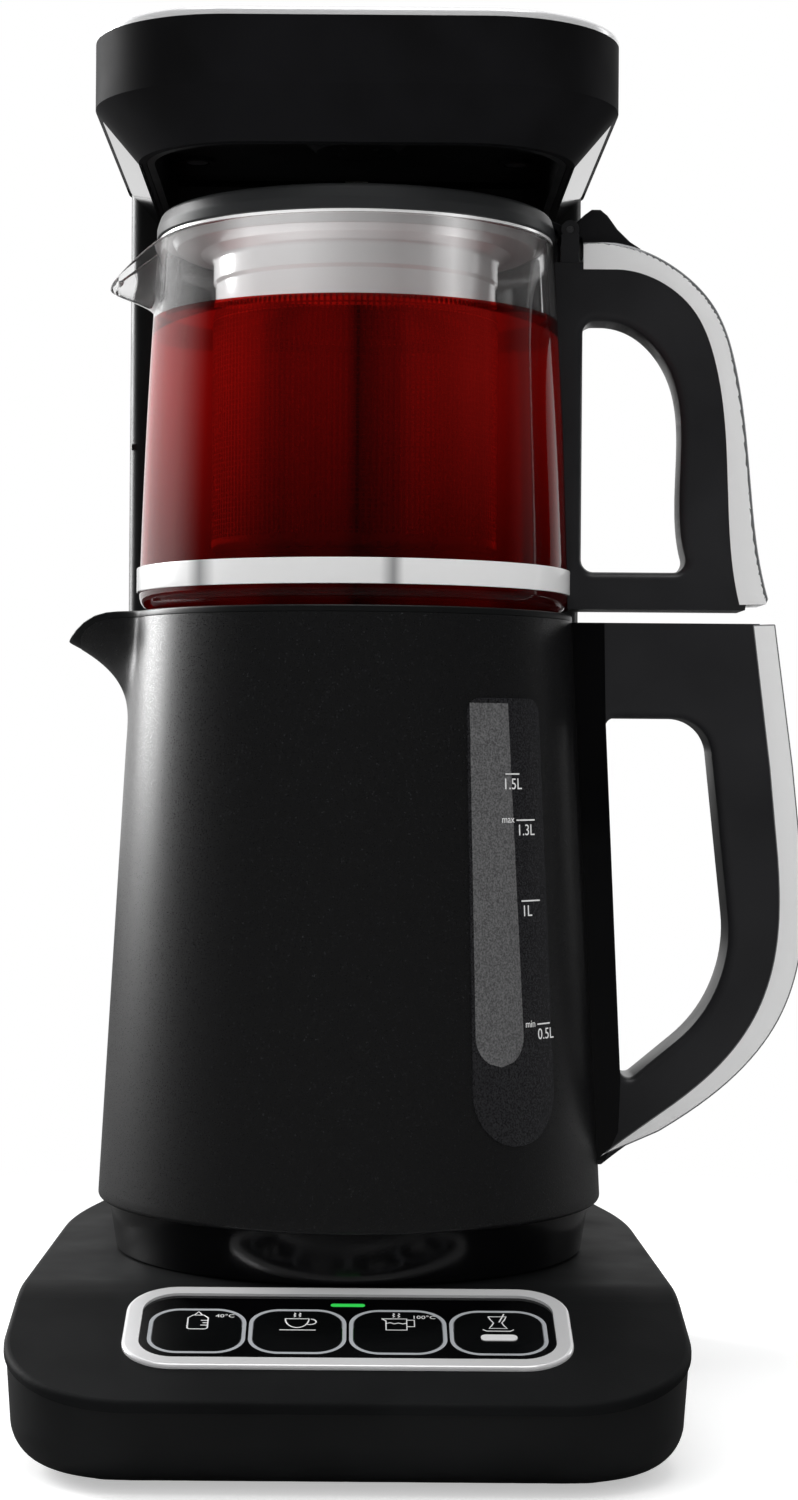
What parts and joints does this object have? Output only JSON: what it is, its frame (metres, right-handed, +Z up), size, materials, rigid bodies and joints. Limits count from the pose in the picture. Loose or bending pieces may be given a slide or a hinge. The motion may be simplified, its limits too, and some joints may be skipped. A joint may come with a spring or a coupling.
{
  "type": "automatic tea maker",
  "caption": "Electric tea maker: a stand with a rear column and an overhanging shower head carries a kettle, and a glass teapot with a steel basket stands on the kettle.",
  "frame": {"origin": "on the table, in the middle of the machine's footprint box", "axes": "+Z up; the user stands at -Y and faces the control panel; both handles point to +X and both beaks to -X"},
  "size_m": [0.2422, 0.26, 0.4258],
  "materials": {
    "satin_black": "satin moulded ABS",
    "deck_black": "fine-grained moulded ABS",
    "gloss_black": "piano black, polished",
    "painted_steel": "matt powder coat with a fine metallic speckle",
    "chrome": "bright plating",
    "steel": "brushed stainless steel",
    "clear_glass": "clear borosilicate",
    "panel_black": "back-printed black glass",
    "smoked_window": "smoked, speckled",
    "lid_grey": "satin graphite",
    "light_guide": "frosted acrylic",
    "green_light": "lit acrylic",
    "key_black": "gloss black",
    "rubber": "matt",
    "silicone": "translucent silicone",
    "inner_plastic": "unpolished moulding",
    "brass": "plated contact",
    "circuit_green": "solder mask",
    "zinc": "zinc plated",
    "aluminium": "cast"
  },
  "bodies": {
    "stand": {"base_lower_shell": "satin_black", "base_deck": "deck_black", "rubber_feet": "rubber", "base_screws": "zinc", "panel_bezel": "chrome", "panel_glass": "panel_black", "status_light": "green_light", "key_light_rings": "light_guide", "control_board": "circuit_green", "connector_body": "inner_plastic", "connector_contacts": "brass", "water_nipple": "inner_plastic", "nipple_seal": "silicone", "suction_hose": "silicone", "pump_head": "inner_plastic", "pump_motor": "zinc", "riser_hose": "silicone", "power_board": "circuit_green", "speaker": "inner_plastic", "cord_inlet": "rubber", "column_front": "satin_black", "column_rear": "satin_black", "column_screws": "zinc", "head_shell": "satin_black", "head_trim": "chrome", "head_top_cover": "gloss_black", "head_underside": "satin_black", "head_screws": "zinc", "shower_nozzle": "inner_plastic", "head_strip_left": "gloss_black", "head_strip_right": "gloss_black"},
    "kettle": {"kettle_body": "painted_steel", "kettle_rim": "satin_black", "gauge_window": "smoked_window", "kettle_collar": "gloss_black", "kettle_bottom_cover": "inner_plastic", "kettle_floor": "steel", "heating_element": "aluminium", "temperature_sensor": "steel", "kettle_socket": "inner_plastic", "socket_contacts": "brass", "valve_housing": "inner_plastic", "valve_spring": "steel", "kettle_handle": "satin_black", "kettle_handle_spine": "gloss_black", "kettle_handle_strip": "chrome"},
    "valve": {"valve_poppet": "silicone"},
    "teapot": {"teapot_glass": "clear_glass", "teapot_band": "steel", "teapot_handle": "satin_black", "teapot_handle_strip": "chrome", "hinge_pin": "steel", "strainer_basket": "steel"},
    "lid": {"lid": "lid_grey", "lid_inlet": "gloss_black", "lid_lever": "lid_grey"},
    "key_1_body": {"key_1": "key_black"},
    "key_2_body": {"key_2": "key_black"},
    "key_3_body": {"key_3": "key_black"},
    "key_4_body": {"key_4": "key_black"}
  },
  "joints": [
    {"name": "kettle_lift", "type": "slide", "parent": "stand", "child": "kettle", "axis": [0, 0, 1], "range_m": [0, 0.005]},
    {"name": "valve_slide", "type": "slide", "parent": "kettle", "child": "valve", "axis": [0, 0, 1], "range_m": [-0.0015, 0], "deforming": ["valve_spring"]},
    {"name": "teapot_draw", "type": "slide", "parent": "kettle", "child": "teapot", "axis": [0, -1, 0], "range_m": [0, 0.24]},
    {"name": "lid_hinge", "type": "hinge", "parent": "teapot", "child": "lid", "pos_m": [0.04525, 0.012, 0.3716], "axis": [0, 1, 0], "range_deg": [0, 4.5]},
    {"name": "key_1_press", "type": "slide", "parent": "stand", "child": "key_1_body", "axis": [0, 0.274, -0.9617], "range_m": [0, 0.0006], "stiffness_N_per_m": 800, "springref_m": -0.0004},
    {"name": "key_2_press", "type": "slide", "parent": "stand", "child": "key_2_body", "axis": [0, 0.274, -0.9617], "range_m": [0, 0.0006], "stiffness_N_per_m": 800, "springref_m": -0.0004},
    {"name": "key_3_press", "type": "slide", "parent": "stand", "child": "key_3_body", "axis": [0, 0.274, -0.9617], "range_m": [0, 0.0006], "stiffness_N_per_m": 800, "springref_m": -0.0004},
    {"name": "key_4_press", "type": "slide", "parent": "stand", "child": "key_4_body", "axis": [0, 0.274, -0.9617], "range_m": [0, 0.0006], "stiffness_N_per_m": 800, "springref_m": -0.0004}
  ],
  "couplings": [
    {"joint": "valve_slide", "follows": "kettle_lift", "ratio": -0.3}
  ]
}
